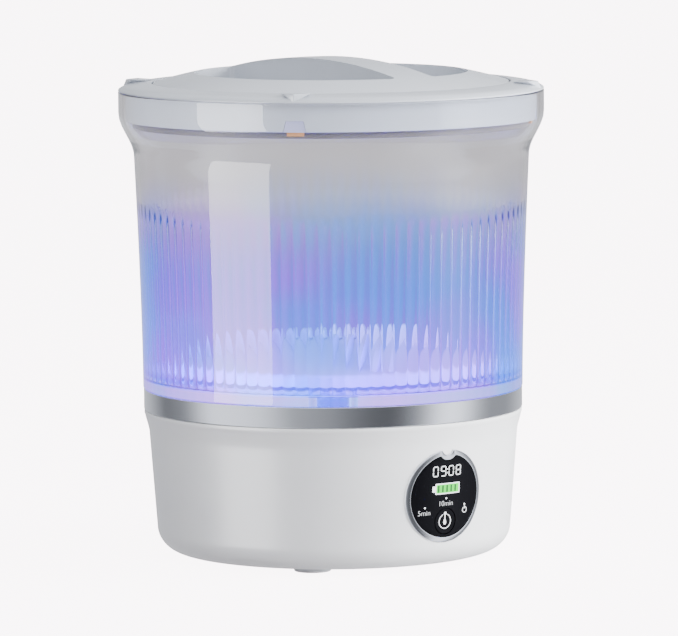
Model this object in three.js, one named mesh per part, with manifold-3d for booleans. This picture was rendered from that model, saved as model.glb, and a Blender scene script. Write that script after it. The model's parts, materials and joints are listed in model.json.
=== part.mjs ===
// Portable mini washer: a clear tub on a round white base, with a lift-off lid.
// Millimetres, +Z up, the display faces -Y, the origin is on the floor under the tub's axis.
import * as THREE from 'three';
import { mergeVertices } from 'three/addons/utils/BufferGeometryUtils.js';
import Module from 'manifold-3d';

const wasm = await Module();
wasm.setup();

// ---- driving dimensions -------------------------------------------------------------------
const GAP = 0.3; // between pieces that touch
const BIG_ROUND = 48; // sides of the large turned pieces
const SMALL_ROUND = 16; // sides of the small turned pieces

const FOOT_HEIGHT = 3;
const FOOT_RADIUS = 10;
const FOOT_CIRCLE = 67; // radius that the feet stand on
const QUARTERS = 4; // feet, screws, lid bosses and lid tabs all come in fours
const BOSS_ANGLE = 222.7; // direction of the first lid boss and foot, from +X

const BASE_CORNER_TOP = 17; // height where the rounded bottom edge ends
const BASE_OPENING = 81.5; // radius of the opening for the bottom cover
const BASE_LOW_RADIUS = 95.9;
const BASE_HIGH_RADIUS = 99.7;
const SHOULDER_LOW = 67;
const SHOULDER_TOP = 80.5;
const SHOULDER_RADIUS = 102.4;
const BASE_WALL = 2.6;
const NECK_RADIUS = 100.9; // upright neck inside the silver band
const NECK_TOP = 89.6;
const BAND_RADIUS = 102.6;
const BAND_TOP = 91.9;

const DECK_TOP = 87.2;
const DECK_THICKNESS = 3;
const TUB_BOTTOM = 92.2;
const TUB_FLOOR = 96.2;
const TUB_TOP = 252.8;
const TUB_WALL = 2.8;
const TUB_LOW_RADIUS = 102.9;
const TUB_HIGH_RADIUS = 106.8;
const FLARE_LOW = 218;
const FLARE_TOP = 241;
const COLLAR_RADIUS = 115;

const LID_SEAT = 253.1;
const LID_RING_TOP = 257.3;
const LID_BEVEL_RADIUS = 111.8;
const SKIRT_RADIUS = 111;
const SKIRT_WALL = 2.4;
const SKIRT_BOTTOM = 237.9;
const DISC_RADIUS = 96.5;
const DISC_EDGE_TOP = 256.8;
const DOME_HEIGHT = 13.4;
const POCKET_RADIUS = 74;
const HANDLE_HALF_WIDTH = 12;
const POCKET_FLOOR = 241;
const DISC_WALL = 2.2;
const NOTCH_WIDTH = 12.5;
const NOTCH_TOP = 243.6;
const BOSS_NEAR = 100;
const BOSS_FAR = 114.5;
const BOSS_TOP = 258;
const MARK_LOW = 235.9;
const MARK_HIGH = 238.1;
const GASKET_RADIUS = 107.2;

const SHAFT_RADIUS = 4;
const PULSATOR_RADIUS = 72;
const PULSATOR_BOTTOM = 98;
const PULSATOR_EDGE_TOP = 105.5;
const MOTOR_RADIUS = 23;
const MOTOR_BOTTOM = 24;
const MOTOR_TOP = 74;

const DISPLAY_HEIGHT = 41.5;
const BEZEL_RADIUS = 25;
const BITE_RADIUS = 4; // round bite in the top of the display
const BITE_RISE = 1.1; // bite centre above the bezel's edge
const BEZEL_WIDTH = 2.7;
const BUTTON_RADIUS = 6.9;
const BUTTON_DROP = 13.7; // button centre below the display centre

const PORT_ANGLE = 28; // charging port, turned from +Y towards -X
const PORT_HEIGHT = 46;
const DRAIN_HEIGHT = 26;
const DRAIN_CIRCLE = 77.5; // radius of the hole in the tub floor
const DRAIN_BORE = 3.8;
const SPOUT_HOLE = 7.4;
const PORT_HOLE = [14, 9]; // width and height of the hole for the charging socket
const FLAP_SEAT = [25, 18]; // width and height of the recess for its flap
const FLAP_SEAT_DEPTH = 1.3;
const SCREW_HOLE = 1.9;
const VENT_GAP = 7; // from one vent in the bottom cover to the next
const VENT_HALF_WIDTH = 1.6;
const VENT_REACH = 18;
const VENTS_EACH_SIDE = 4;
const SCREW_CIRCLE = 72;

// ---- materials ----------------------------------------------------------------------------
const paint = (color, roughness, metalness = 0) => () =>
  new THREE.MeshStandardMaterial({ color, roughness, metalness });
const whiteShell = paint(0xe6e7ea, 0.25);
const greyLid = paint(0xd5d8dd, 0.25);
const lilacPlastic = paint(0xb9bcd2, 0.35);
const clearPlastic = paint(0xcfdcf2, 0.05);
const silverTrim = paint(0xb4b6bd, 0.25, 1);
const blackGlass = paint(0x101114, 0.08);
const steel = paint(0xa9abb0, 0.3, 1);
const darkRubber = paint(0x3a3c40, 0.8);
const paleRubber = paint(0xd8dbe2, 0.7);
const orangeMark = paint(0xf0a765, 0.6);
const greenBoard = paint(0x1f6b3c, 0.5);
const blackPlastic = paint(0x222326, 0.5);
const glowWhite = paint(0xdfe6ff, 0.4);
const blueCell = paint(0x2f62b5, 0.4);
const redWire = paint(0xb03030, 0.5);
const brass = paint(0xb08d4a, 0.3, 1);

// ---- solids -------------------------------------------------------------------------------
const smooth = (t) => t * t * (3 - 2 * t);
const radians = THREE.MathUtils.degToRad;

/** The corner positions and corner triples of a closed geometry, faces pointing out. */
function cornersOf(geometry) {
  const bare = geometry.clone();
  for (const name of Object.keys(bare.attributes)) {
    if (name !== 'position') bare.deleteAttribute(name);
  }
  const merged = mergeVertices(bare, 1e-4);
  const at = merged.attributes.position.array;
  const triangles = [];
  let volume = 0;
  const a = new THREE.Vector3();
  const b = new THREE.Vector3();
  const c = new THREE.Vector3();
  for (let i = 0; i < merged.index.count; i += 3) {
    const [p, q, r] = [0, 1, 2].map((k) => merged.index.getX(i + k));
    if (p === q || q === r || r === p) continue;
    triangles.push([p, q, r]);
    a.fromArray(at, 3 * p);
    volume += a.dot(b.fromArray(at, 3 * q).cross(c.fromArray(at, 3 * r)));
  }
  const turned = volume < 0 ? triangles.map(([p, q, r]) => [p, r, q]) : triangles;
  return { positions: new Float32Array(at), triangles: new Uint32Array(turned.flat()) };
}

function solid(geometry) {
  const { positions, triangles } = cornersOf(geometry);
  const mesh = new wasm.Mesh({ numProp: 3, vertProperties: positions, triVerts: triangles });
  mesh.merge();
  return new wasm.Manifold(mesh);
}

function geometryOf(body) {
  const mesh = body.getMesh();
  const geometry = new THREE.BufferGeometry();
  geometry.setAttribute('position', new THREE.BufferAttribute(mesh.vertProperties, 3));
  geometry.setIndex(new THREE.BufferAttribute(mesh.triVerts, 1));
  geometry.computeVertexNormals();
  return geometry;
}

/** A ring or body turned round the Z axis from [radius, height] points. */
function turned(points, sides = BIG_ROUND) {
  const onAxis = points[0][0] === 0 && points.at(-1)[0] === 0;
  const loop = onAxis ? points : [...points, points[0]];
  const profile = loop.map(([radius, height]) => new THREE.Vector2(radius, height));
  return solid(new THREE.LatheGeometry(profile, sides).rotateX(Math.PI / 2));
}

/** A rectangular ring section turned round Z. */
const ring = (inner, outer, low, high, sides) =>
  turned([[inner, low], [outer, low], [outer, high], [inner, high]], sides);

const rod = (radius, low, high, sides = SMALL_ROUND) =>
  turned([[0, low], [radius, low], [radius, high], [0, high]], sides);

/** A rod along +Y between two y values, centred on x and z. */
function rodY(radius, near, far, z = 0, x = 0, sides = SMALL_ROUND) {
  const geometry = new THREE.CylinderGeometry(radius, radius, far - near, sides);
  return solid(geometry.translate(x, (near + far) / 2, z));
}

const block = (x0, x1, y0, y1, z0, z1) => {
  const geometry = new THREE.BoxGeometry(x1 - x0, y1 - y0, z1 - z0);
  return solid(geometry.translate((x0 + x1) / 2, (y0 + y1) / 2, (z0 + z1) / 2));
};

/** A round hose or lead along a smooth curve; bore 0 makes it solid. */
function hose(points, radius, bore = 0, steps = 14, sides = 8) {
  const path = new THREE.CatmullRomCurve3(points.map((p) => new THREE.Vector3(...p)));
  const section = new THREE.Shape().absarc(0, 0, radius, 0, 2 * Math.PI);
  if (bore > 0) section.holes.push(new THREE.Path().absarc(0, 0, bore, 0, 2 * Math.PI, true));
  const options = { extrudePath: path, steps, curveSegments: sides / 2, bevelEnabled: false };
  return solid(new THREE.ExtrudeGeometry(section, options));
}

/** The place at a radius and an angle from +X, in the floor plan. */
const around = (radius, angle) => [radius * Math.cos(radians(angle)), radius * Math.sin(radians(angle))];
const quarter = (index) => BOSS_ANGLE + 90 * index;

// ---- the assembly -------------------------------------------------------------------------
const group = new THREE.Group();
function add(name, shape, material, parent = group) {
  const geometry = shape.isBufferGeometry ? shape : geometryOf(shape);
  const mesh = new THREE.Mesh(geometry, material());
  mesh.name = name;
  parent.add(mesh);
  return mesh;
}

const rearPort = new THREE.Group();
rearPort.rotation.z = radians(PORT_ANGLE);
group.add(rearPort);

// ---- base ---------------------------------------------------------------------------------
/** The outside of the base wall, grown outwards by some distance. */
function baseOutside(grow = 0) {
  const centre = BASE_OPENING;
  const across = BASE_LOW_RADIUS - centre + grow;
  const down = BASE_CORNER_TOP - FOOT_HEIGHT + grow;
  const points = [];
  for (let step = 0; step <= 6; step += 1) {
    const turn = (step / 6) * (Math.PI / 2);
    points.push([centre + across * Math.sin(turn), BASE_CORNER_TOP - down * Math.cos(turn)]);
  }
  for (let step = 0; step <= 5; step += 1) {
    const t = step / 5;
    const z = SHOULDER_LOW + (SHOULDER_TOP - SHOULDER_LOW) * t;
    points.push([BASE_HIGH_RADIUS + (SHOULDER_RADIUS - BASE_HIGH_RADIUS) * smooth(t) + grow, z]);
  }
  return points;
}

/** A filled body whose side is the base wall grown by some distance. */
const baseFilled = (grow) => {
  const side = baseOutside(grow);
  return turned([[0, side[0][1]], ...side, [0, SHOULDER_TOP]]);
};

const ledge = 83.6; // the deck rests here inside the neck
const inner = baseOutside(-BASE_WALL).slice(0, -2).reverse();
let housing = turned([
  ...baseOutside(),
  [NECK_RADIUS, SHOULDER_TOP], [NECK_RADIUS, NECK_TOP], [98.4, NECK_TOP], [98.4, ledge],
  [95.4, ledge], [95.4, 81], ...inner,
]);
const displayHole = rodY(BEZEL_RADIUS - 1.3, -110, -80, DISPLAY_HEIGHT, 0, 40);
/** A block through the back wall at the charging socket. */
const portBlock = ([width, height], depth) => solid(new THREE.BoxGeometry(width, depth, height)
  .translate(0, 98, PORT_HEIGHT).rotateZ(radians(PORT_ANGLE)));
const portHole = portBlock(PORT_HOLE, 40);
const flapSeat = baseFilled(0.1).subtract(baseFilled(-FLAP_SEAT_DEPTH)).intersect(portBlock(FLAP_SEAT, 30));
const drainHole = rodY(SPOUT_HOLE, 80, 110, DRAIN_HEIGHT);
housing = housing.subtract(displayHole).subtract(portHole).subtract(flapSeat).subtract(drainHole);
add('base_housing', housing, whiteShell);

const coverBottom = FOOT_HEIGHT + GAP;
const coverTop = coverBottom + 2.4;
const screwAngle = (index) => quarter(index) - 16;
let cover = turned([[0, coverBottom], [BASE_OPENING - 0.4, coverBottom], [BASE_OPENING - 0.4, coverTop],
  [0, coverTop]]);
for (let index = 0; index < QUARTERS; index += 1) {
  const [x, y] = around(SCREW_CIRCLE, screwAngle(index));
  cover = cover.subtract(solid(new THREE.CylinderGeometry(SCREW_HOLE, SCREW_HOLE, 20, 12)
    .rotateX(Math.PI / 2).translate(x, y, 4)));
}
for (let vent = -VENTS_EACH_SIDE; vent <= VENTS_EACH_SIDE; vent += 1) {
  const x = vent * VENT_GAP;
  cover = cover.subtract(block(x - VENT_HALF_WIDTH, x + VENT_HALF_WIDTH, -VENT_REACH, VENT_REACH, 0, 10));
}
add('bottom_cover', cover, whiteShell);

for (let index = 0; index < QUARTERS; index += 1) {
  const [x, y] = around(FOOT_CIRCLE, quarter(index));
  const foot = add(`foot_${index + 1}`,
    turned([[0, 0], [FOOT_RADIUS - 1, 0], [FOOT_RADIUS, 1], [FOOT_RADIUS, FOOT_HEIGHT], [0, FOOT_HEIGHT]],
      SMALL_ROUND), paleRubber);
  foot.position.set(x, y, 0);
  const [sx, sy] = around(SCREW_CIRCLE, screwAngle(index));
  const head = coverBottom - 1.4;
  const screw = add(`cover_screw_${index + 1}`,
    turned([[0, head], [2.4, head], [3.2, head + 1.1], [1.5, head + 1.1], [1.5, 15], [0, 16]], 12), steel);
  screw.position.set(sx, sy, 0);
}

add('silver_band', ring(NECK_RADIUS + GAP, BAND_RADIUS, SHOULDER_TOP + GAP, BAND_TOP), silverTrim);

let deck = turned([[9, DECK_TOP - DECK_THICKNESS], [98.1, DECK_TOP - DECK_THICKNESS],
  [98.1, DECK_TOP], [9, DECK_TOP]]);
for (let index = 0; index < QUARTERS; index += 1) {
  const [x, y] = around(SCREW_CIRCLE, screwAngle(index));
  const post = ring(SCREW_HOLE, 5, coverTop + GAP, DECK_TOP - 1, 12);
  deck = deck.add(post.translate([x, y, 0]));
}
/** An upright rod through the place where the drain leaves the tub floor. */
const drainRod = (radius) => solid(new THREE.CylinderGeometry(radius, radius, 20, SMALL_ROUND)
  .rotateX(Math.PI / 2).translate(0, DRAIN_CIRCLE, DECK_TOP));
deck = deck.subtract(drainRod(DRAIN_BORE + 2.2));
add('deck', deck, whiteShell);

add('led_board', ring(56, 71.5, DECK_TOP + GAP, DECK_TOP + 1.6), greenBoard);
add('light_ring', ring(83.4, 97.6, DECK_TOP + GAP, DECK_TOP + 4), glowWhite);
add('tub_seal', ring(98.7, 100.6, NECK_TOP + GAP, TUB_BOTTOM - GAP), darkRubber);

// ---- tub ----------------------------------------------------------------------------------
function tubRadius(z) {
  if (z >= FLARE_TOP) return COLLAR_RADIUS;
  if (z >= FLARE_LOW) {
    const t = (z - FLARE_LOW) / (FLARE_TOP - FLARE_LOW);
    return TUB_HIGH_RADIUS + (COLLAR_RADIUS - TUB_HIGH_RADIUS) * smooth(t);
  }
  const rise = (z - TUB_BOTTOM) / (FLARE_LOW - TUB_BOTTOM);
  return TUB_LOW_RADIUS + (TUB_HIGH_RADIUS - TUB_LOW_RADIUS) * rise ** 1.5;
}
const wallHeights = [140, 182];
for (let step = 0; step <= 6; step += 1) wallHeights.push(FLARE_LOW + (FLARE_TOP - FLARE_LOW) * (step / 6));
wallHeights.push(TUB_TOP);
const tubOutside = [[TUB_LOW_RADIUS, TUB_BOTTOM], ...wallHeights.map((z) => [tubRadius(z), z])];
const tubInside = wallHeights.map((z) => [tubRadius(z) - TUB_WALL, z]).reverse();
const shaftHole = 9;
let tub = turned([
  [shaftHole, TUB_BOTTOM], ...tubOutside, ...tubInside,
  [TUB_LOW_RADIUS - TUB_WALL, TUB_FLOOR + 6], [TUB_LOW_RADIUS - TUB_WALL - 6, TUB_FLOOR],
  [shaftHole, TUB_FLOOR],
]);
tub = tub.subtract(drainRod(DRAIN_BORE));
add('wash_tub', tub, clearPlastic);

// ---- drive --------------------------------------------------------------------------------
const pulsatorWall = 2.2;
let pulsator = turned([
  [7, PULSATOR_BOTTOM + 2], [7, 111], [20, 111], [45, PULSATOR_EDGE_TOP + 0.5],
  [PULSATOR_RADIUS - pulsatorWall, PULSATOR_EDGE_TOP - 3.2],
  [PULSATOR_RADIUS - pulsatorWall, PULSATOR_BOTTOM],
  [PULSATOR_RADIUS, PULSATOR_BOTTOM], [PULSATOR_RADIUS, PULSATOR_EDGE_TOP - 1.5],
  [PULSATOR_RADIUS - 1.5, PULSATOR_EDGE_TOP], [50, 109], [26, 115], [13, 118], [SHAFT_RADIUS + 0.2, 118],
  [SHAFT_RADIUS + 0.2, PULSATOR_BOTTOM + 2],
], 32);
const vanes = 3;
for (let index = 0; index < vanes; index += 1) {
  const vane = new THREE.Shape();
  vane.moveTo(14, 110);
  vane.lineTo(67, 104);
  vane.lineTo(67, 107.5);
  vane.quadraticCurveTo(54, 122, 30, 124);
  vane.quadraticCurveTo(18, 124, 14, 117.5);
  const blade = new THREE.ExtrudeGeometry(vane, { depth: 7, bevelEnabled: false, curveSegments: 5 });
  blade.translate(0, 0, -3.5).rotateX(Math.PI / 2).rotateZ(radians(15 + (360 / vanes) * index));
  pulsator = pulsator.add(solid(blade));
}
add('pulsator', pulsator, lilacPlastic);
add('pulsator_cap', turned([[0, 118.3], [8, 118.3], [8, 120], [5.5, 122.6], [0, 123.4]], SMALL_ROUND),
  lilacPlastic);
add('drive_shaft', rod(SHAFT_RADIUS, MOTOR_TOP + 8, 118), steel);
add('lip_seal', ring(SHAFT_RADIUS + 0.2, shaftHole - 0.2, 90.2, TUB_FLOOR + 0.6, SMALL_ROUND), darkRubber);
const deckBottom = DECK_TOP - DECK_THICKNESS;
add('shaft_bearing', ring(SHAFT_RADIUS + 0.1, shaftHole - 0.3, deckBottom, 89.8, SMALL_ROUND), steel);
add('motor', turned([[0, MOTOR_BOTTOM], [MOTOR_RADIUS - 2, MOTOR_BOTTOM], [MOTOR_RADIUS, MOTOR_BOTTOM + 2],
  [MOTOR_RADIUS, MOTOR_TOP], [8, MOTOR_TOP], [8, MOTOR_TOP + 2.6], [0, MOTOR_TOP + 2.6]], 32), steel);
add('shaft_coupling', turned([[0, MOTOR_TOP + 3], [7, MOTOR_TOP + 3], [7, 83.6], [SHAFT_RADIUS + 0.3, 83.6],
  [SHAFT_RADIUS + 0.3, MOTOR_TOP + 7.6], [0, MOTOR_TOP + 7.6]], SMALL_ROUND), brass);

let motorMount = ring(9, 30, MOTOR_TOP + GAP, MOTOR_TOP + 2.3, 32);
const standoffs = 3;
const standoffAngle = (index) => 90 + (360 / standoffs) * index;
for (let index = 0; index < standoffs; index += 1) {
  const [x, y] = around(27, standoffAngle(index));
  motorMount = motorMount.add(ring(1.7, 3, MOTOR_TOP + GAP, DECK_TOP - DECK_THICKNESS - GAP, 10)
    .translate([x, y, 0])).subtract(rod(1.7, 70, 84, 10).translate([x, y, 0]));
  const screw = add(`motor_screw_${index + 1}`,
    turned([[0, 71.2], [3, 71.2], [3, 74], [1.4, 74], [1.4, 83], [0, 83]], 10), steel);
  screw.position.set(x, y, 0);
}
add('motor_mount', motorMount, steel);

// ---- display on the front -----------------------------------------------------------------
const wrap = (outer, deep) => baseFilled(outer).subtract(baseFilled(-deep));
const frontOnly = (radius, sides) => rodY(radius, -112, -70, DISPLAY_HEIGHT, 0, sides);
const biteHeight = DISPLAY_HEIGHT + BEZEL_RADIUS + BITE_RISE;
const bite = (radius) => rodY(radius, -112, -70, biteHeight, 0, 20);
/** The bezel's outline, with its bite, drawn in from the edge by some distance. */
const outline = (inset) => frontOnly(BEZEL_RADIUS - inset, 40).subtract(bite(BITE_RADIUS + inset));
const flange = outline(0).intersect(wrap(1.3, -GAP));
const sleeve = outline(1.7).intersect(wrap(1.3, 4));
add('display_bezel', flange.add(sleeve).subtract(outline(BEZEL_WIDTH)), silverTrim);
const buttonHeight = DISPLAY_HEIGHT - BUTTON_DROP;
const buttonHole = rodY(BUTTON_RADIUS + 0.3, -112, -70, buttonHeight);
add('display_lens', outline(BEZEL_WIDTH + GAP).intersect(wrap(0.7, 1.3)).subtract(buttonHole), blackGlass);
const dish = solid(new THREE.SphereGeometry(24, 24, 16).translate(0, -96.9 - 24 - 0.2, buttonHeight));
add('power_button', rodY(BUTTON_RADIUS, -112, -70, buttonHeight).intersect(wrap(0.6, 2.6)).subtract(dish),
  blackGlass);
const boardFront = -87;
add('display_board', rodY(20, boardFront, boardFront + 1.6, DISPLAY_HEIGHT, 0, 32), greenBoard);
add('display_module', block(-15, 15, -93.4, boardFront - GAP, 37.5, 55), blackPlastic);
add('button_switch', block(-3, 3, -92.6, boardFront - GAP, buttonHeight - 3, buttonHeight + 3),
  blackPlastic);

// ---- charging port with its flap, and the electronics --------------------------------------
add('charge_port', block(-6.6, 6.6, 86, 95.4, PORT_HEIGHT - 4, PORT_HEIGHT + 4).subtract(
  block(-4.6, 4.6, 89, 99, PORT_HEIGHT - 1.8, PORT_HEIGHT + 1.8)), steel, rearPort);
const flapBody = solid(new THREE.BoxGeometry(24, 30, 17.2).translate(0, 98, PORT_HEIGHT));
const flapShell = wrap(0.5, 0.9).rotate([0, 0, -PORT_ANGLE]);
const tongue = solid(new THREE.BoxGeometry(6, 2, 2.4).translate(0, 98.6, PORT_HEIGHT + 7));
add('port_flap', flapBody.intersect(flapShell.add(tongue)), paleRubber, rearPort);

add('main_board', block(-64, -62.4, -24, 24, 22, 66), greenBoard);
const cellPlaces = [-9.6, 9.6];
cellPlaces.forEach((y, index) => {
  add(`battery_cell_${index + 1}`, rod(9, 10, 75, 20).translate([62, y, 0]), blueCell);
});
add('battery_holder', block(50.4, 73.6, -21, 21, 6.4, 9.6).add(block(50.4, 52.2, -21, 21, 6.4, 62)),
  blackPlastic);
const leadRadius = 1.4;
add('battery_lead', hose([[62, -16, 77.6], [52, -34, 79], [20, -44, 79], [-20, -42, 78], [-50, -30, 76],
  [-66, -16, 66.4]], leadRadius), redWire);
add('motor_lead', hose([[-10, 4, 20.4], [-26, 6, 16], [-44, 4, 16], [-56, 2, 20], [-60.2, 0, 30]],
  leadRadius), redWire);
add('display_lead', hose([[-6, -83.6, 34], [-14, -76, 28], [-34, -60, 26], [-54, -40, 32],
  [-60.2, -22, 40]], leadRadius), blackPlastic);

// ---- drain --------------------------------------------------------------------------------
const spoutStart = 90;
add('drain_hose', hose([[0, DRAIN_CIRCLE, TUB_BOTTOM - GAP], [0, DRAIN_CIRCLE, 70], [0, DRAIN_CIRCLE, 44],
  [0, DRAIN_CIRCLE + 2, 33], [0, DRAIN_CIRCLE + 5.5, 27.8], [0, spoutStart - 3.6, DRAIN_HEIGHT]],
DRAIN_BORE + 1.4, DRAIN_BORE, 14, 10), darkRubber);
/** A body turned round the drain's axis, which runs along Y, from [radius, y] points. */
const turnedOnDrain = (points) => solid(new THREE.LatheGeometry(
  points.map(([radius, y]) => new THREE.Vector2(radius, y)), SMALL_ROUND).translate(0, 0, DRAIN_HEIGHT));
add('drain_spout', turnedOnDrain([[4.4, spoutStart - 0.8], [7, spoutStart - 0.8], [7, 98.4], [10, 98.4],
  [10, 100.4], [6, 100.4], [6, 107], [4.4, 107], [4.4, spoutStart - 0.8]]), whiteShell);
const plug = turnedOnDrain([[0, 102], [4.1, 102], [4.1, 107.4], [6.3, 107.4], [6.3, 101], [8.2, 101],
  [8.2, 110], [0, 110]]);
add('drain_plug', plug.add(block(-3, 3, 109.4, 113, DRAIN_HEIGHT - 7, DRAIN_HEIGHT + 7)), paleRubber);

// ---- lid ----------------------------------------------------------------------------------
const domeTop = (radius) => DISC_EDGE_TOP + DOME_HEIGHT * (1 - (radius / DISC_RADIUS) ** 2) ** 0.95;
let lidRing = turned([
  [COLLAR_RADIUS, LID_SEAT], [COLLAR_RADIUS, LID_SEAT + 0.6], [114.3, 254.4], [LID_BEVEL_RADIUS, 255.5],
  [106, 256.7], [97, LID_RING_TOP], [97, 254.8], [93, 254.8], [93, LID_SEAT - 0.4],
  [SKIRT_RADIUS - SKIRT_WALL, LID_SEAT - 0.4], [SKIRT_RADIUS - SKIRT_WALL, SKIRT_BOTTOM],
  [SKIRT_RADIUS, SKIRT_BOTTOM], [SKIRT_RADIUS, LID_SEAT],
]);
const bossShape = new THREE.Shape();
bossShape.moveTo(0, LID_SEAT + 0.3);
bossShape.quadraticCurveTo(3, 253.8, 8, BOSS_TOP);
bossShape.lineTo(-8, BOSS_TOP);
bossShape.quadraticCurveTo(-3, 253.8, 0, LID_SEAT + 0.3);
const bossSlope = turned([[BOSS_NEAR - 2, 250], [BOSS_FAR + 0.3, 250], [BOSS_FAR + 0.3, 253.6],
  [BOSS_FAR - 3.2, BOSS_TOP + 1], [BOSS_NEAR - 2, BOSS_TOP + 1]]);
const tabTaper = 1.5;
/** A notch with sloping sides, from a low edge to a high one, smaller by shrink at each side. */
function notchShape(low, high, shrink) {
  const half = (z) => NOTCH_WIDTH / 2 - shrink - tabTaper * (z - SKIRT_BOTTOM) / (NOTCH_TOP - SKIRT_BOTTOM);
  return new THREE.Shape([[-half(low), low], [half(low), low], [half(high), high], [-half(high), high]]
    .map(([x, z]) => new THREE.Vector2(x, z)));
}
/** A plate drawn in the upright plane, facing away from the axis, between two radii. */
function plateFacingOut(shape, near, far, angle) {
  const options = { depth: far - near, bevelEnabled: false, curveSegments: 4 };
  const plate = new THREE.ExtrudeGeometry(shape, options);
  return solid(plate.rotateX(Math.PI / 2).translate(0, far, 0).rotateZ(radians(angle - 90)));
}
for (let index = 0; index < QUARTERS; index += 1) {
  const angle = quarter(index);
  lidRing = lidRing.add(plateFacingOut(bossShape, BOSS_NEAR, BOSS_FAR, angle).intersect(bossSlope));
  lidRing = lidRing.subtract(plateFacingOut(notchShape(SKIRT_BOTTOM - 2, NOTCH_TOP, 0), 106, 114, angle));
  const tab = notchShape(SKIRT_BOTTOM, NOTCH_TOP - GAP, GAP);
  add(`lid_tab_${index + 1}`, plateFacingOut(tab, SKIRT_RADIUS - 1.9, SKIRT_RADIUS - 0.4, angle),
    lilacPlastic);
  const mark = new THREE.Shape([[-4.5, MARK_LOW], [4.5, MARK_LOW], [4.5, MARK_HIGH], [-4.5, MARK_HIGH]]
    .map(([x, y]) => new THREE.Vector2(x, y)));
  add(`tab_mark_${index + 1}`, plateFacingOut(mark, GASKET_RADIUS + GAP, 108.6, angle), orangeMark);
}
add('lid_ring', lidRing, greyLid);

const domeRadii = [DISC_RADIUS, 95, 91, 85, 72, 50, 25, 0];
const cap = turned([[0, 255.1], [DISC_RADIUS, 255.1], ...domeRadii.map((r) => [r, domeTop(r)])]);
const capInside = turned([[0, 250], ...domeRadii.slice(2).map((r) => [r, domeTop(r) - DISC_WALL])]);
/** A finger pocket's outline as a body: a round well with one straight side beside the handle. */
function well(radius, straight, low) {
  const reach = 120;
  const over = 290;
  return rod(radius, low, over, BIG_ROUND).intersect(block(straight, reach, -reach, reach, low, over));
}
let disc = cap.subtract(capInside);
for (const side of [0, 180]) {
  const cup = well(POCKET_RADIUS + DISC_WALL, HANDLE_HALF_WIDTH - DISC_WALL, POCKET_FLOOR - DISC_WALL);
  disc = disc.add(cup.intersect(turned([[0, 200], [DISC_RADIUS - 6, 200],
    ...domeRadii.slice(2).map((r) => [r, domeTop(r) - 1])])).rotate([0, 0, side]));
}
for (const side of [0, 180]) {
  disc = disc.subtract(well(POCKET_RADIUS, HANDLE_HALF_WIDTH, POCKET_FLOOR).rotate([0, 0, side]));
}
add('lid_disc', disc, greyLid);
const gasketInside = 104.2;
add('lid_gasket', turned([[gasketInside, SKIRT_BOTTOM - 3.3], [106.4, SKIRT_BOTTOM - 3.5],
  [GASKET_RADIUS, SKIRT_BOTTOM - 2.3], [GASKET_RADIUS, SKIRT_BOTTOM - GAP],
  [gasketInside, SKIRT_BOTTOM - GAP]]), paleRubber);

export default group;
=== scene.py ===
import json
import math

import bmesh
import bpy
from mathutils import Matrix, Vector


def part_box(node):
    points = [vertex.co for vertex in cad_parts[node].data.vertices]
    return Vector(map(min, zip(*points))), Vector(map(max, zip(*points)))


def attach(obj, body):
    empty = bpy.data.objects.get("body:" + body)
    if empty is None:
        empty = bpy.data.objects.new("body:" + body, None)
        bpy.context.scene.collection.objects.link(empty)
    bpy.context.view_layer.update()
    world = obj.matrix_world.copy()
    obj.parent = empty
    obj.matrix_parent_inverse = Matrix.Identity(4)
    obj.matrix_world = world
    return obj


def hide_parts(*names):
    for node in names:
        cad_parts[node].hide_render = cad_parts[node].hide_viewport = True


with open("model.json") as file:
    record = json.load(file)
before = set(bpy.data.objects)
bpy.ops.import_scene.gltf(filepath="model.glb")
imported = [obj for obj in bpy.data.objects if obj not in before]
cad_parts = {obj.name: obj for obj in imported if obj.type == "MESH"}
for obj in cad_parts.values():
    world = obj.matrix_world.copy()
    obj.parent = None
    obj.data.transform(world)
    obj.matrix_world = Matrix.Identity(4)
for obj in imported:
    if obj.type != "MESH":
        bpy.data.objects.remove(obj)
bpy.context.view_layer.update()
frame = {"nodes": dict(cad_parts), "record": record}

# ---- sizes, in millimetres, from the frame ------------------------------------------------
MM = 0.001


def span(node):
    """A node's lowest and highest corner in millimetres."""
    low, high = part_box(node)
    return low / MM, high / MM


tub_low, tub_high = span("wash_tub")
TUB_BOTTOM = tub_low.z
TUB_FLOOR = TUB_BOTTOM + 4
TUB_TOP = tub_high.z
COLLAR_RADIUS = tub_high.x
TUB_WALL = 2.8
TUB_LOW_RADIUS = 102.9
TUB_HIGH_RADIUS = 106.8
FLARE_LOW = TUB_TOP - 34.8
FLARE_TOP = TUB_TOP - 11.8
SHAFT_HOLE = 9
FLUTES = 96
FLUTE_DEPTH = 0.9
FLUTE_LOW = TUB_FLOOR + 2
FLUTE_HIGH = 192

base_low, base_high = span("base_housing")
BASE_BOTTOM = base_low.z
BASE_CORNER_TOP = BASE_BOTTOM + 14
BASE_OPENING = 81.5
BASE_LOW_RADIUS = 95.9
BASE_HIGH_RADIUS = 99.7
SHOULDER_LOW = 67
SHOULDER_TOP = 80.5
SHOULDER_RADIUS = base_high.x
NECK_RADIUS = 100.9
NECK_TOP = base_high.z
BASE_WALL = 2.6

band_low, band_high = span("silver_band")
ring_low, ring_high = span("lid_ring")
disc_low, disc_high = span("lid_disc")
SKIRT_BOTTOM = ring_low.z
LID_SEAT = TUB_TOP + 0.3
LID_RING_TOP = LID_SEAT + 4.2
DISC_RADIUS = disc_high.x
DISC_EDGE_TOP = 256.8
DOME_HEIGHT = disc_high.z - DISC_EDGE_TOP
POCKET_RADIUS = 74
POCKET_FLOOR = disc_low.z + 2.2
HANDLE_HALF_WIDTH = 12

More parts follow.
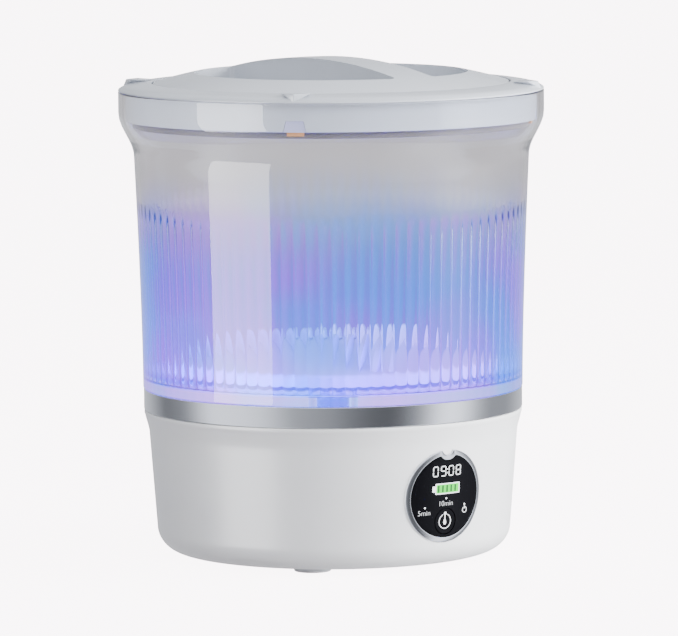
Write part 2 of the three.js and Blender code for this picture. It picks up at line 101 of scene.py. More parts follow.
bezel_low, bezel_high = span("display_bezel")
BEZEL_RADIUS = bezel_high.x
DISPLAY_HEIGHT = bezel_low.z + BEZEL_RADIUS
BITE_RADIUS = 4
BITE_RISE = 1.1
BEZEL_WIDTH = 2.7
button_low, button_high = span("power_button")
BUTTON_RADIUS = button_high.x
BUTTON_HEIGHT = (button_low.z + button_high.z) / 2

BOSS_ANGLE = math.radians(222.7)
QUARTER = math.pi / 2
PORT_TURN = math.radians(28)
PORT_HEIGHT = 46
PORT_HALF = (7, 4.5)  # half the width and height of the hole for the charging socket
FLAP_HALF = (12.5, 9)  # half the width and height of the recess for its flap
FLAP_DEPTH = 1.3
DRAIN_HEIGHT = 26
DRAIN_CIRCLE = 77.5
DRAIN_HOLE = 3.8
SPOUT_HOLE = 7.4

# ---- camera -------------------------------------------------------------------------------
CAMERA_TURN = math.radians(-37.4)
CAMERA_DISTANCE = 3.35
CAMERA_HEIGHT = 0.48
AIM_HEIGHT = 0.1286
AIM_ASIDE = 0.0035
CAMERA_ROLL = math.radians(-0.38)
FOCAL_LENGTH = 330

towards_camera = Vector((math.sin(CAMERA_TURN), -math.cos(CAMERA_TURN), 0))
to_the_right = Vector((math.cos(CAMERA_TURN), math.sin(CAMERA_TURN), 0))


def add_camera():
    data = bpy.data.cameras.new("camera")
    data.lens = FOCAL_LENGTH
    data.clip_end = 50
    camera = bpy.data.objects.new("camera", data)
    bpy.context.scene.collection.objects.link(camera)
    place = towards_camera * CAMERA_DISTANCE + Vector((0, 0, CAMERA_HEIGHT))
    aim = to_the_right * AIM_ASIDE + Vector((0, 0, AIM_HEIGHT))
    turn = (place - aim).to_track_quat("Z", "Y").to_matrix().to_4x4()
    camera.matrix_world = Matrix.Translation(place) @ turn @ Matrix.Rotation(CAMERA_ROLL, 4, "Z")
    bpy.context.scene.camera = camera


add_camera()


# ---- shader sums --------------------------------------------------------------------------
class Wire:
    """A shader socket. Sums and products of wires add Math nodes, and make adds any other node."""

    def __init__(self, tree, socket=None):
        self.tree = tree
        self.socket = socket

    def make(self, kind, settings=None, inputs=None, output=0):
        node = self.tree.nodes.new(kind)
        for key, value in (settings or {}).items():
            setattr(node, key, value)
        for key, value in (inputs or {}).items():
            if isinstance(value, Wire):
                self.tree.links.new(value.socket, node.inputs[key])
            else:
                node.inputs[key].default_value = value
        return Wire(self.tree, node.outputs[output]) if node.outputs else None

    def output(self, key):
        """Another output of the node that this wire comes from."""
        return Wire(self.tree, self.socket.node.outputs[key])

    def calculate(self, operation, first, second=0.0):
        return self.make("ShaderNodeMath", {"operation": operation}, {0: first, 1: second})

    def __add__(self, other):
        return self.calculate("ADD", self, other)

    def __radd__(self, other):
        return self.calculate("ADD", other, self)

    def __sub__(self, other):
        return self.calculate("SUBTRACT", self, other)

    def __rsub__(self, other):
        return self.calculate("SUBTRACT", other, self)

    def __mul__(self, other):
        return self.calculate("MULTIPLY", self, other)

    def __rmul__(self, other):
        return self.calculate("MULTIPLY", other, self)

    def between(self, low, high):
        """0 below low, 1 above high, with soft ends."""
        inputs = {"Value": self, "From Min": low, "From Max": high}
        return self.make("ShaderNodeMapRange", {"interpolation_type": "SMOOTHSTEP"}, inputs)

    def noise(self, place, scale, detail=2.0):
        return self.make("ShaderNodeTexNoise", None, {"Vector": place, "Scale": scale, "Detail": detail})

    def colours(self, share, first, second):
        """A colour that goes from first to second as share goes from 0 to 1."""
        settings = {"data_type": "RGBA"}
        return self.make("ShaderNodeMix", settings, {0: share, 6: first, 7: second}, output=2)

    def bump(self, height, strength, distance):
        inputs = {"Height": height, "Strength": strength, "Distance": distance}
        return self.make("ShaderNodeBump", None, inputs)


def start_material(name):
    """An empty material, the wire that builds its nodes, and the place on the object."""
    material = bpy.data.materials.new(name)
    material.use_nodes = True
    material.node_tree.nodes.clear()
    wire = Wire(material.node_tree)
    place = wire.make("ShaderNodeTexCoord", output=3)
    return material, wire, place


def finish_material(material, wire, shader):
    wire.make("ShaderNodeOutputMaterial", None, {"Surface": shader})
    return material


def shade(colour, factor):
    return tuple(min(1.0, part * factor) for part in colour[:3]) + (1.0,)


def moulded(name, colour, roughness=0.3, grain=0.03, coat=0.0, swing=0.03, shine=0.5):
    """Moulded plastic or rubber: a fine grain, slow changes of gloss and a little uneven colour."""
    material, wire, place = start_material(name)
    cloud = wire.noise(place, 45.0, 3.0)
    grit = wire.noise(place, 2600.0, 2.0)
    tint = wire.colours(cloud, shade(colour, 1 - swing), shade(colour, 1 + swing))
    gloss = cloud * 0.1 + grit * 0.06 + (roughness - 0.08)
    inputs = {
        "Base Color": tint,
        "Roughness": gloss,
        "Normal": wire.bump(grit, grain, 0.0002),
        "Coat Weight": coat,
        "Coat Roughness": 0.06,
        "Specular IOR Level": shine,
    }
    return finish_material(material, wire, wire.make("ShaderNodeBsdfPrincipled", None, inputs))


def metal(name, colour, roughness):
    """Metal with fine lines round the Z axis and small changes of gloss along them."""
    material, wire, place = start_material(name)
    along = wire.make("ShaderNodeMapping", None, {"Vector": place, "Scale": (1.0, 1.0, 60.0)})
    lines = wire.noise(along, 160.0, 4.0)
    tint = wire.colours(lines, shade(colour, 0.94), shade(colour, 1.06))
    inputs = {
        "Base Color": tint,
        "Metallic": 1.0,
        "Roughness": lines * 0.12 + (roughness - 0.06),
        "Normal": wire.bump(lines, 0.04, 0.0002),
    }
    return finish_material(material, wire, wire.make("ShaderNodeBsdfPrincipled", None, inputs))


def lit(name, colour, strength):
    """A lit sign or lamp, a little uneven as a real one is."""
    material, wire, place = start_material(name)
    cloud = wire.noise(place, 900.0, 2.0)
    glow = wire.colours(cloud, shade(colour, 0.94), shade(colour, 1))
    inputs = {
        "Base Color": shade(colour, 0.04),
        "Roughness": 0.4,
        "Emission Color": glow,
        "Emission Strength": strength,
    }
    return finish_material(material, wire, wire.make("ShaderNodeBsdfPrincipled", None, inputs))


def clear_plastic_painted_glow():
    """The tub's clear plastic, clear at the top, with a painted blue and violet glow lower down: its tint and
    emission stand for the light ring's light.
    """
    material, wire, place = start_material("clear_tub")
    east = wire.make("ShaderNodeSeparateXYZ", None, {"Vector": place})
    height = east.output("Z")
    bearing = wire.calculate("ARCTAN2", east.output("Y"), east)
    # Painted glow masks: brighter streaks along the flutes, a glowing zone that fades out from 0.165 to 0.225
    # m up, and a stronger part that fades out from 0.10 to 0.17 m up.
    painted_glow_streaks = wire.calculate("SINE", bearing * float(FLUTES)) * 0.5 + 0.5
    cloud = wire.noise(place, 14.0, 3.0)
    depth = 1 - (height + cloud * 0.03).between(0.165, 0.225)
    low = 1 - (height + cloud * 0.02).between(0.10, 0.17)
    hue = wire.noise(place, 16.0, 1.0).between(0.38, 0.58)
    clear = (0.975, 0.985, 1.0, 1.0)
    blue = (0.30, 0.58, 0.98, 1.0)
    violet = (0.60, 0.38, 0.98, 1.0)
    # Painted light: the blue and violet base colour and the emission colour stand for the light ring's glow,
    # not a colour of the plastic.
    tint = wire.colours(depth, clear, wire.colours(hue, blue, violet))
    glow = wire.colours(hue, (0.0, 0.14, 1.0, 1.0), (0.25, 0.02, 1.0, 1.0))
    glow = wire.colours(depth * (painted_glow_streaks * 0.4 + 0.35 + low * 0.25), (0.0, 0.0, 0.0, 1.0), glow)
    inputs = {
        "Base Color": tint,
        "Roughness": 0.02,
        "IOR": 1.49,
        "Transmission Weight": 1.0,
        "Emission Color": glow,
        "Emission Strength": 0.42,
    }
    glass = wire.make("ShaderNodeBsdfPrincipled", None, inputs)
    through = wire.make("ShaderNodeBsdfTransparent", None, {"Color": (0.93, 0.95, 1.0, 1.0)})
    lamp_ray = wire.make("ShaderNodeLightPath", output=1)
    both = wire.make("ShaderNodeMixShader", None, {0: lamp_ray, 1: glass, 2: through})
    return finish_material(material, wire, both)


finishes = {
    "white_shell": moulded("white_shell", (0.80, 0.81, 0.83), 0.3, 0.02),
    "lid_plastic": moulded("lid_plastic", (0.53, 0.56, 0.62), 0.22, 0.02, 0.3),
    "clear_tub": clear_plastic_painted_glow(),
    "lilac_plastic": moulded("lilac_plastic", (0.50, 0.50, 0.72), 0.34, 0.03, 0.1),
    "silver_trim": metal("silver_trim", (0.74, 0.75, 0.79), 0.2),
    "black_lens": moulded("black_lens", (0.003, 0.003, 0.004), 0.14, 0.003, swing=0.1, shine=0.05),
    "pale_rubber": moulded("pale_rubber", (0.60, 0.62, 0.66), 0.6, 0.06),
    "orange_silicone": moulded("orange_silicone", (0.90, 0.42, 0.12), 0.5, 0.05),
    "dark_rubber": moulded("dark_rubber", (0.03, 0.03, 0.035), 0.7, 0.08),
    "steel": metal("steel", (0.56, 0.57, 0.58), 0.3),
    "brass": metal("brass", (0.75, 0.55, 0.25), 0.28),
    "circuit_board": moulded("circuit_board", (0.03, 0.20, 0.09), 0.4, 0.1, 0.2, 0.2),
    "light_guide": lit("light_guide", (0.30, 0.35, 1.0), 4.0),
    "black_plastic": moulded("black_plastic", (0.02, 0.02, 0.022), 0.45, 0.05),
    "cell_wrap": moulded("cell_wrap", (0.03, 0.12, 0.45), 0.3, 0.03, 0.2),
    "red_lead": moulded("red_lead", (0.45, 0.03, 0.02), 0.5, 0.05),
}
gasket_rubber = moulded("gasket_rubber", (0.16, 0.145, 0.145), 0.6, 0.06)
# Painted glow: the seal's pale violet stands for the light ring's violet light at the tub's hub, so no dark
# spot shows through the tub's shaft hole.
seal_painted_glow = moulded("seal_painted_glow", (0.62, 0.62, 0.80), 0.5, 0.05)
sign_white = lit("sign_white", (0.95, 0.97, 1.0), 3.6)
sign_words = lit("sign_words", (0.95, 0.97, 1.0), 2.0)
sign_green = lit("sign_green", (0.04, 1.0, 0.05), 2.6)
sign_bar = lit("sign_bar", (0.16, 1.0, 0.20), 0.22)


def dress_frame():
    """Gives every node of the frame the finish of its slot, and the seal under the rotor a pale violet one, a
    painted glow that stands for the light ring's violet light.
    """
    for row in frame["record"]["subparts"]:
        node = frame["nodes"][row["node"]]
        node.data.materials.clear()
        node.data.materials.append(finishes[row["material_slot"]])
    frame["nodes"]["lip_seal"].data.materials[0] = seal_painted_glow


dress_frame()


# ---- making shapes ------------------------------------------------------------------------
def softened(corners, steps=4):
    """An outline whose corners, each (x, y, size), are turned into short curves."""
    points = []
    for index, (x, y, size) in enumerate(corners):
        here = Vector((x, y))
        if size == 0:
            points.append(here)
            continue
        before = Vector(corners[index - 1][:2])
        after = Vector(corners[(index + 1) % len(corners)][:2])
        start = here + (before - here).normalized() * size
        end = here + (after - here).normalized() * size
        for step in range(steps + 1):
            t = step / steps
            points.append(start.lerp(here, t).lerp(here.lerp(end, t), t))
    return points


def turned(points, steps=192):
    """A body turned round the Z axis from (radius, height) points in millimetres."""
    shape = bmesh.new()
    corners = [shape.verts.new((x * MM, 0, y * MM)) for x, y in points]
    pairs = list(zip(corners, corners[1:]))
    if points[0][0] > 0 or points[-1][0] > 0:
        pairs.append((corners[-1], corners[0]))
    edges = [shape.edges.new(pair) for pair in pairs]
    bmesh.ops.spin(shape, geom=corners + edges, cent=(0, 0, 0), axis=(0, 0, 1), dvec=(0, 0, 0),
                   angle=2 * math.pi, steps=steps, use_merge=True)
    bmesh.ops.remove_doubles(shape, verts=shape.verts[:], dist=1e-7)
    bmesh.ops.recalc_face_normals(shape, faces=shape.faces[:])
    return shape


def carved(shape, tool, operation="DIFFERENCE"):
    """The shape with the tool cut away from it or joined to it."""
    both = []
    for part in (shape, tool):
        mesh = bpy.data.meshes.new("work")
        part.to_mesh(mesh)
        part.free()
        both.append(bpy.data.objects.new("work", mesh))
        bpy.context.scene.collection.objects.link(both[-1])
    change = both[0].modifiers.new("change", "BOOLEAN")
    change.operation = operation
    change.solver = "EXACT"
    change.object = both[1]
    result = bmesh.new()
    result.from_object(both[0], bpy.context.evaluated_depsgraph_get())
    for part in both:
        mesh = part.data
        bpy.data.objects.remove(part)
        bpy.data.meshes.remove(mesh)
    return result


def prism(outline, depth, move=None):
    """A flat outline of (x, z) points in millimetres, made depth thick along Y."""
    shape = bmesh.new()
    face = shape.faces.new([shape.verts.new((x * MM, 0, z * MM)) for x, z in outline])
    made = bmesh.ops.extrude_face_region(shape, geom=[face])
    top = [item for item in made["geom"] if isinstance(item, bmesh.types.BMVert)]
    bmesh.ops.translate(shape, verts=top, vec=(0, depth * MM, 0))
    bmesh.ops.recalc_face_normals(shape, faces=shape.faces[:])
    if move:
        bmesh.ops.transform(shape, matrix=move, verts=shape.verts[:])
    return shape


def box_shape(low, high, move=None):
    """A box between two corners in millimetres."""
    shape = bmesh.new()
    bmesh.ops.create_cube(shape, size=1)
    middle = (Vector(low) + Vector(high)) / 2 * MM
    size = (Vector(high) - Vector(low)) * MM
    bmesh.ops.transform(shape, matrix=Matrix.Translation(middle) @ Matrix.Diagonal((*size, 1)),
                        verts=shape.verts[:])
    if move:
        bmesh.ops.transform(shape, matrix=move, verts=shape.verts[:])
    return shape


def rounded(shape, edges, width, segments):
    """Rounds some edges of a shape."""
    bmesh.ops.bevel(shape, geom=edges, offset=width * MM, offset_type="OFFSET", affect="EDGES",
                    segments=segments, profile=0.5, material=-1)


def soften_edges(shape, width, lowest_angle, segments):
    """Rounds every edge that is sharper than the angle, in degrees, without letting curves cross."""
    sharp = [edge for edge in shape.edges
             if len(edge.link_faces) == 2 and edge.calc_face_angle(0) > math.radians(lowest_angle)]
    bmesh.ops.bevel(shape, geom=sharp, offset=width * MM, offset_type="OFFSET", affect="EDGES",
                    segments=segments, profile=0.5, material=-1, clamp_overlap=True)


def add_piece(shape, name, body, slot, nodes=(), material=None, crease=40):
    """Makes a shape a piece that rides on a body and stands for some nodes."""
    bmesh.ops.recalc_face_normals(shape, faces=shape.faces[:])
    mesh = bpy.data.meshes.new(name)
    shape.to_mesh(mesh)
    shape.free()
    mesh.shade_smooth()
    mesh.set_sharp_from_angle(angle=math.radians(crease))
    mesh.materials.append(material or finishes[slot])
    piece = bpy.data.objects.new(name, mesh)
    bpy.context.scene.collection.objects.link(piece)
    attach(piece, body)
    if nodes:
        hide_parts(*nodes)
    return piece


def smooth(t):
    return t * t * (3 - 2 * t)


def base_radius(z):
    """The outside radius of the base wall at a height."""
    if z < BASE_CORNER_TOP:
        drop = (BASE_CORNER_TOP - z) / (BASE_CORNER_TOP - BASE_BOTTOM)
        return BASE_OPENING + (BASE_LOW_RADIUS - BASE_OPENING) * math.sqrt(max(0.0, 1 - drop * drop))
    if z < SHOULDER_LOW:
        share = (z - BASE_CORNER_TOP) / (SHOULDER_LOW - BASE_CORNER_TOP)
        return BASE_LOW_RADIUS + (BASE_HIGH_RADIUS - BASE_LOW_RADIUS) * share
    share = min(1.0, (z - SHOULDER_LOW) / (SHOULDER_TOP - SHOULDER_LOW))
    return BASE_HIGH_RADIUS + (SHOULDER_RADIUS - BASE_HIGH_RADIUS) * smooth(share)


# ---- base ---------------------------------------------------------------------------------
def base_side(grow=0.0):
    """The base's outside from the bottom opening to the shoulder, grown by some distance."""
    points = []
    corner_steps = 14
    for step in range(corner_steps + 1):
        turn = QUARTER * step / corner_steps
        across = BASE_LOW_RADIUS - BASE_OPENING + grow
        down = BASE_CORNER_TOP - BASE_BOTTOM + grow
        points.append((BASE_OPENING + across * math.sin(turn), BASE_CORNER_TOP - down * math.cos(turn)))
    side_steps = 26
    for step in range(1, side_steps + 1):
        z = BASE_CORNER_TOP + (SHOULDER_TOP - BASE_CORNER_TOP) * step / side_steps
        points.append((base_radius(z) + grow, z))
    return points


def filled_base(grow):
    side = base_side(grow)
    return turned([(0, side[0][1]), *side, (0, SHOULDER_TOP)])


def rod_along_y(radius, near, far, x=0.0, z=0.0, segments=64, move=None):
    shape = bmesh.new()
    bmesh.ops.create_cone(shape, cap_ends=True, segments=segments, radius1=radius * MM,
                          radius2=radius * MM, depth=(far - near) * MM)
    place = Matrix.Translation(Vector((x, (near + far) / 2, z)) * MM) @ Matrix.Rotation(QUARTER, 4, "X")
    bmesh.ops.transform(shape, matrix=place, verts=shape.verts[:])
    if move:
        bmesh.ops.transform(shape, matrix=move, verts=shape.verts[:])
    return shape


def upright_rod(radius, x, y, z, segments):
    """A rod along Z, 20 mm long, whose middle is at a point."""
    place = Matrix.Translation((x * MM, y * MM, z * MM)) @ Matrix.Rotation(QUARTER, 4, "X")
    return rod_along_y(radius, -10, 10, 0, 0, segments, place)


def port_block(half_width, half_height):
    """A block through the back wall at the charging socket."""
    low = (-half_width, 80, PORT_HEIGHT - half_height)
    high = (half_width, 110, PORT_HEIGHT + half_height)
    return box_shape(low, high, Matrix.Rotation(PORT_TURN, 4, "Z"))


def add_base():
    """The white shell, with holes for the display, the spout and the charging socket."""
    inner = [point for point in base_side(-BASE_WALL) if point[1] < 76]
    outline = base_side()[:-1]
    outline += softened([(SHOULDER_RADIUS, SHOULDER_TOP - 2, 0), (SHOULDER_RADIUS, SHOULDER_TOP, 0.5),
                         (NECK_RADIUS, SHOULDER_TOP, 0)])
    outline += [(NECK_RADIUS, NECK_TOP), (98.4, NECK_TOP), (98.4, 83.6), (95.4, 83.6), (95.4, 81)]
    shell = turned(outline + inner[::-1], 256)
    shell = carved(shell, prism(bitten_outline(1.3), 30, Matrix.Translation((0, -110 * MM, 0))))
    shell = carved(shell, rod_along_y(SPOUT_HOLE, 80, 110, 0, DRAIN_HEIGHT, 48))
    shell = carved(shell, port_block(*PORT_HALF))
    seat = carved(filled_base(0.4), filled_base(-FLAP_DEPTH))
    shell = carved(shell, carved(seat, port_block(*FLAP_HALF), "INTERSECT"))
    add_piece(shell, "base_shell", "base", "white_shell", ["base_housing"])


def add_band():
    inside = NECK_RADIUS + 0.3
    outside = band_high.x
    outline = softened([(inside, band_low.z, 0.1), (outside, band_low.z, 0.45),
                        (outside, band_high.z, 0.45), (inside, band_high.z, 0.1)])
    add_piece(turned(outline, 256), "band", "base", "silver_trim", ["silver_band"])


def add_bottom():
    """The bottom cover, with a row of vents and a hole for each screw."""
    low, high = span("bottom_cover")
    radius = high.x
    side = softened([(radius, low.z, 0.5), (radius, high.z, 0.2)])
    shape = turned([(0, low.z), *side, (0, high.z)], 128)
    vent_gap = 7
    vent_half = 1.6
    for index in range(-4, 5):
        x = index * vent_gap
        slot = box_shape((x - vent_half, -18, low.z - 2), (x + vent_half, 18, high.z + 2))
        upright = [edge for edge in slot.edges if abs(edge.verts[0].co.z - edge.verts[1].co.z) > 2 * MM]
        rounded(slot, upright, 1.5, 4)
        shape = carved(shape, slot)
    for index in range(4):
        screw_low, screw_high = span(f"cover_screw_{index + 1}")
        middle = (screw_low + screw_high) / 2
        shape = carved(shape, upright_rod(1.9, middle.x, middle.y, low.z, 24))
    add_piece(shape, "cover", "base", "white_shell", ["bottom_cover"])


def add_feet():
    for index in range(4):
        low, high = span(f"foot_{index + 1}")
        middle = (low + high) / 2
        radius = (high.x - low.x) / 2
        height = high.z - low.z
        outline = softened([(0, 0.35, 0), (radius * 0.55, 0.35, 0.2), (radius * 0.62, 0, 0.2),
                            (radius, 0, 1.1), (radius, height, 0.2), (0, height, 0)])
        foot = turned(outline, 64)
        bmesh.ops.translate(foot, verts=foot.verts[:], vec=(middle.x * MM, middle.y * MM, 0))
        add_piece(foot, f"round_foot_{index + 1}", "base", "pale_rubber", [f"foot_{index + 1}"])


# ---- tub ----------------------------------------------------------------------------------
def tub_radius(z):
    if z >= FLARE_TOP:
        return COLLAR_RADIUS
    if z >= FLARE_LOW:
        share = (z - FLARE_LOW) / (FLARE_TOP - FLARE_LOW)
        return TUB_HIGH_RADIUS + (COLLAR_RADIUS - TUB_HIGH_RADIUS) * smooth(share)
    rise = max(0.0, z - TUB_BOTTOM) / (FLARE_LOW - TUB_BOTTOM)
    return TUB_LOW_RADIUS + (TUB_HIGH_RADIUS - TUB_LOW_RADIUS) * rise ** 1.5


def add_tub():
    """One clear wall and floor, with rounded ribs on the inside that end in round toes."""
    edge = 0.5
    heights = [TUB_BOTTOM + edge + (TUB_TOP - edge - TUB_BOTTOM - edge) * step / 44 for step in range(45)]
    heights = sorted(heights + [TUB_BOTTOM + edge + 0.3, TUB_TOP - edge - 0.3])
    outside = [(tub_radius(z), z) for z in heights]
    floor_turn = 7
    inside = [(tub_radius(z) - TUB_WALL, z) for z in heights if z > TUB_FLOOR + floor_turn + 1][::-1]
    foot_radius = tub_radius(TUB_FLOOR + floor_turn) - TUB_WALL
    corner = softened([(foot_radius, TUB_FLOOR + floor_turn + 0.5, 0),
                       (foot_radius, TUB_FLOOR, floor_turn),
                       (foot_radius - floor_turn - 0.5, TUB_FLOOR, 0)], 6)[1:-1]
    rim = [(COLLAR_RADIUS - 0.4, TUB_TOP), (COLLAR_RADIUS - TUB_WALL + 0.4, TUB_TOP)]
    outline = [(SHAFT_HOLE, TUB_BOTTOM), (TUB_LOW_RADIUS - edge, TUB_BOTTOM), *outside, *rim, *inside,
               *corner, (SHAFT_HOLE, TUB_FLOOR)]
    tub = turned(outline, FLUTES * 8)
    for vert in tub.verts:
        z = vert.co.z / MM
        radius = math.hypot(vert.co.x, vert.co.y) / MM
        if radius < 80 or radius > tub_radius(z) - TUB_WALL + 0.2 or not FLUTE_LOW < z < FLUTE_HIGH:
            continue
        bearing = math.atan2(vert.co.y, vert.co.x)
        rib = abs(math.sin(bearing * FLUTES / 2)) ** 0.7
        toe = min(1.0, (z - FLUTE_LOW) / 4) ** 0.5
        head = min(1.0, (FLUTE_HIGH - z) / 10)
        inward = 1 - FLUTE_DEPTH * rib * toe * smooth(head) / radius
        vert.co.x *= inward
        vert.co.y *= inward
    tub = carved(tub, upright_rod(DRAIN_HOLE, 0, DRAIN_CIRCLE, TUB_BOTTOM, 32))
    add_piece(tub, "clear_tub", "base", "clear_tub", ["wash_tub"], crease=60)


# ---- pulsator -----------------------------------------------------------------------------
def add_pulsator():
    """A shallow cone with three rounded blades, and the cap over its hub."""
    low, high = span("pulsator")
    radius = high.x
    edge_top = low.z + 7.5
    outline = softened([
        (4.2, low.z + 2, 0), (7, low.z + 2, 0), (7, 111, 0), (20, 111, 2), (45, edge_top + 0.5, 4),
        (radius - 2.2, edge_top - 3.2, 1), (radius - 2.2, low.z, 0.3), (radius, low.z, 0.5),
        (radius, edge_top, 2.2), (50, 109, 12), (26, 115, 8), (13, 118, 1), (4.2, 118, 0),
    ], 5)
    disc = turned(outline, 160)
    thick = 7
    blade_outline = softened([(14, 110, 0), (67, 104, 0), (67, 107, 1), (54, 119, 12), (30, 124, 12),
                              (14, 120.5, 5)], 6)
    for index in range(3):
        turn = Matrix.Rotation(math.radians(15 + 120 * index), 4, "Z")
        blade = prism(blade_outline, thick, turn @ Matrix.Translation((0, -thick / 2 * MM, 0)))
        soften_edges(blade, 2.2, 60, 4)
        disc = carved(disc, blade, "UNION")
    add_piece(disc, "pulsator_disc", "rotor", "lilac_plastic", ["pulsator"])
    low, high = span("pulsator_cap")
    outline = softened([(0, low.z, 0), (8, low.z, 0.3), (8, high.z - 3.4, 1.6), (5.4, high.z, 2.4),
                        (0, high.z, 0)], 6)
    cap = turned(outline, 64)
    add_piece(cap, "round_cap", "rotor", "lilac_plastic", ["pulsator_cap"])


# ---- lid ----------------------------------------------------------------------------------
def dome_top(radius):
    return DISC_EDGE_TOP + DOME_HEIGHT * max(0.0, 1 - (radius / DISC_RADIUS) ** 2) ** 0.95


def facing_out(angle, radius):
    """Takes a shape drawn in the XZ plane to a place that faces away from the axis."""
    return Matrix.Rotation(angle - QUARTER, 4, "Z") @ Matrix.Translation((0, radius * MM, 0))


def add_lid_ring():
    """The lid's ring and skirt, with four pointed bosses and a notch under each for a tab."""
    skirt = 111
    skirt_wall = 2.4
    outline = softened([
        (COLLAR_RADIUS, LID_SEAT, 0.25), (COLLAR_RADIUS - 0.1, LID_SEAT + 0.7, 0.4), (111.8, 255.6, 2.2),
        (105, LID_RING_TOP - 0.5, 4), (97, LID_RING_TOP, 0.4), (97, 254.8, 0), (93, 254.8, 0),
        (93, LID_SEAT - 0.4, 0),
        (skirt - skirt_wall, LID_SEAT - 0.4, 0), (skirt - skirt_wall, SKIRT_BOTTOM, 0.3),
        (skirt, SKIRT_BOTTOM, 0.5), (skirt, LID_SEAT, 0.2),
    ], 5)
    ring = turned(outline, 256)
    top = ring_high.z
    nose = [(-7, 100, top - 0.4), (7, 100, top - 0.4), (-8, 108.5, top), (8, 108.5, top), (0, 113, top - 0.1),
            (0, 114.8, LID_SEAT + 0.5), (0, 104, LID_SEAT + 1)]
    low, high = span("lid_tab_1")
    notch_top = high.z + 0.3
    notch = softened([(-8, SKIRT_BOTTOM - 2, 0), (8, SKIRT_BOTTOM - 2, 0), (5.9, SKIRT_BOTTOM + 0.8, 1.2),
                      (4.8, notch_top, 0.5), (-4.8, notch_top, 0.5), (-5.9, SKIRT_BOTTOM + 0.8, 1.2)], 4)
    for index in range(4):
        angle = BOSS_ANGLE + QUARTER * index
        boss = bmesh.new()
        bmesh.ops.convex_hull(boss, input=[boss.verts.new(Vector(point) * MM) for point in nose])
        soften_edges(boss, 0.5, 10, 3)
        bmesh.ops.transform(boss, matrix=facing_out(angle, 0), verts=boss.verts[:])
        ring = carved(ring, boss, "UNION")
        ring = carved(ring, prism(notch, 8, facing_out(angle, 106)))
    add_piece(ring, "ring", "lid", "lid_plastic", ["lid_ring"])


def well(radius, straight, floor, corner, side):
    """A round well with one straight side beside the axis, its upright corners and floor rounded."""
    reach = math.acos(straight / radius)
    steps = 48
    turns = [reach - 2 * reach * step / steps for step in range(steps + 1)]
    arc = [(radius * math.cos(turn), radius * math.sin(turn)) for turn in turns]
    shape = bmesh.new()
    face = shape.faces.new([shape.verts.new((x * MM, y * MM, floor * MM)) for x, y in arc])
    made = bmesh.ops.extrude_face_region(shape, geom=[face])
    top = [item for item in made["geom"] if isinstance(item, bmesh.types.BMVert)]
    bmesh.ops.translate(shape, verts=top, vec=(0, 0, 50 * MM))
    bmesh.ops.recalc_face_normals(shape, faces=shape.faces[:])
    upright = [edge for edge in shape.edges
               if abs(edge.verts[0].co.z - edge.verts[1].co.z) > 10 * MM and edge.calc_face_angle(0) > 0.5]
    rounded(shape, upright, corner, 8)
    bottom = [edge for edge in shape.edges if all(vert.co.z < (floor + 1) * MM for vert in edge.verts)]
    rounded(shape, bottom, corner * 0.7, 5)
    if side < 0:
        half_turn = Matrix.Rotation(math.pi, 3, "Z")
        bmesh.ops.rotate(shape, verts=shape.verts[:], cent=(0, 0, 0), matrix=half_turn)
    return shape


def add_lid_disc():
    """A shallow dome with two finger pockets on the sides of a handle bar."""
    wall = 2.2
    edge_round = 1.2
    radii = [DISC_RADIUS * math.sin(QUARTER * step / 28) for step in range(29)]
    crown = [(radius, dome_top(radius)) for radius in radii if radius < DISC_RADIUS - edge_round][::-1]
    disc_bottom = 255.1
    corners = [(DISC_RADIUS - 0.1, disc_bottom, 0), (DISC_RADIUS, DISC_EDGE_TOP, edge_round), (*crown[0], 0)]
    brim = softened(corners, 4)[:-1]
    disc = turned([(0, disc_bottom), *brim, *crown], 256)
    below = [(radius, dome_top(radius) - wall) for radius in radii if radius < DISC_RADIUS - 5][::-1]
    disc = carved(disc, turned([(0, 250), (below[0][0], 250), *below], 128))
    for side in (-1, 1):
        cup = well(POCKET_RADIUS + wall, HANDLE_HALF_WIDTH - wall, POCKET_FLOOR - wall, 4.5, side)
        under_dome = [(radius, dome_top(radius) - 1) for radius in radii if radius < DISC_RADIUS - 6][::-1]
        lid_block = turned([(0, 200), (DISC_RADIUS - 6, 200), *under_dome], 128)
        disc = carved(disc, carved(cup, lid_block, "INTERSECT"), "UNION")
    for side in (-1, 1):
        disc = carved(disc, well(POCKET_RADIUS, HANDLE_HALF_WIDTH, POCKET_FLOOR, 3, side))
    add_piece(disc, "domed_disc", "lid", "lid_plastic", ["lid_disc"], crease=35)


def add_gasket():
    low, high = span("lid_gasket")
    inside = 104.2
    outline = softened([(inside, low.z, 0.8), (high.x, low.z, 0.8), (high.x, high.z - 1.4, 0.5),
                        (high.x - 0.6, high.z, 0.3), (inside, high.z, 0.3)], 4)
    add_piece(turned(outline, 160), "gasket", "lid", "pale_rubber", ["lid_gasket"], gasket_rubber)


# ---- display ------------------------------------------------------------------------------
def bitten_outline(inset, around=96, across=14):
    """The display's round outline with the bite at its top, drawn in from the edge."""
    radius = BEZEL_RADIUS - inset
    bite = BITE_RADIUS + inset
    apart = BEZEL_RADIUS + BITE_RISE
    start = math.acos((radius ** 2 + apart ** 2 - bite ** 2) / (2 * radius * apart))
    swing = math.acos((bite ** 2 + apart ** 2 - radius ** 2) / (2 * bite * apart))
    points = []
    for step in range(around):
        turn = start + (2 * math.pi - 2 * start) * step / around
        points.append((radius * math.sin(turn), DISPLAY_HEIGHT + radius * math.cos(turn)))
    for step in range(across):
        turn = -swing + 2 * swing * step / across
        points.append((bite * math.sin(turn), DISPLAY_HEIGHT + apart - bite * math.cos(turn)))
    return points


